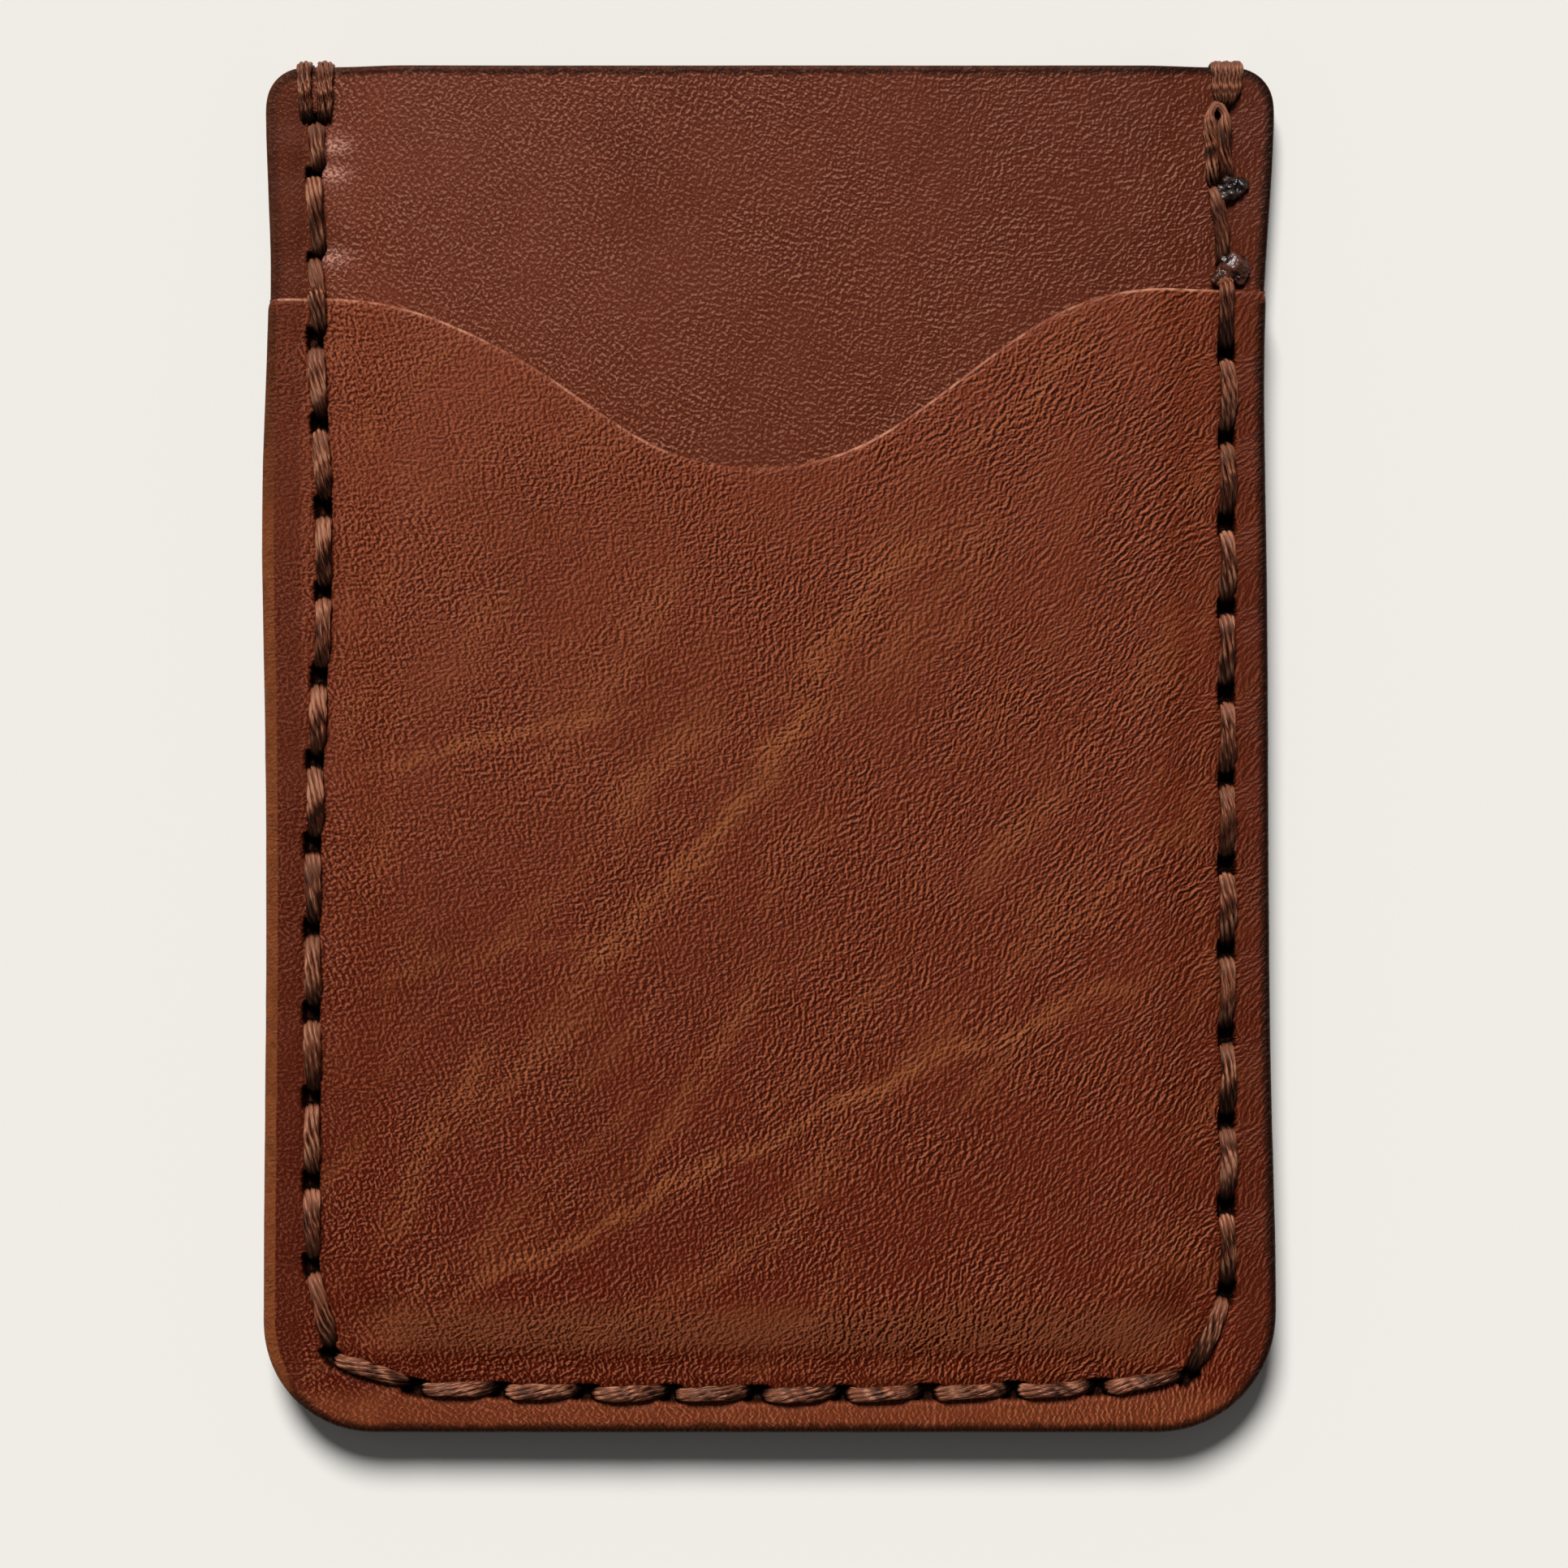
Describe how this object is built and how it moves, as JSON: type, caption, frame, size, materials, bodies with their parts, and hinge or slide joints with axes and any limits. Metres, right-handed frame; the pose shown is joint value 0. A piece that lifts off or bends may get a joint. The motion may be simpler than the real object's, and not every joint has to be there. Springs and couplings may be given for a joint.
{
  "type": "card holder",
  "caption": "Flat hand-stitched leather card holder with a full-height rear pocket and a shorter front pocket with a wavy thumb dip.",
  "frame": {"origin": "middle of the back face: centre of the bounding box in X and Y, and its lowest level in Z", "axes": "+Z out of the front panel, +Y towards the pocket mouths, +X to the right seen from the front"},
  "size_m": [0.0701, 0.0952, 0.0057],
  "materials": {
    "front_leather": "satin",
    "middle_leather": "satin",
    "back_leather": "satin",
    "cement": "matte",
    "waxed_thread": "satin",
    "melted_thread": "gloss"
  },
  "bodies": {
    "root": {"back_panel": "back_leather", "middle_panel": "middle_leather", "front_panel": "front_leather", "rear_glue_strip": "cement", "front_glue_strip": "cement", "seam_thread": "waxed_thread", "edge_wrap_left_outer": "waxed_thread", "edge_wrap_left_inner": "waxed_thread", "edge_wrap_right_inner": "waxed_thread", "edge_wrap_right_outer": "waxed_thread", "thread_end_bead_upper": "melted_thread", "thread_end_bead_lower": "melted_thread"}
  },
  "joints": []
}
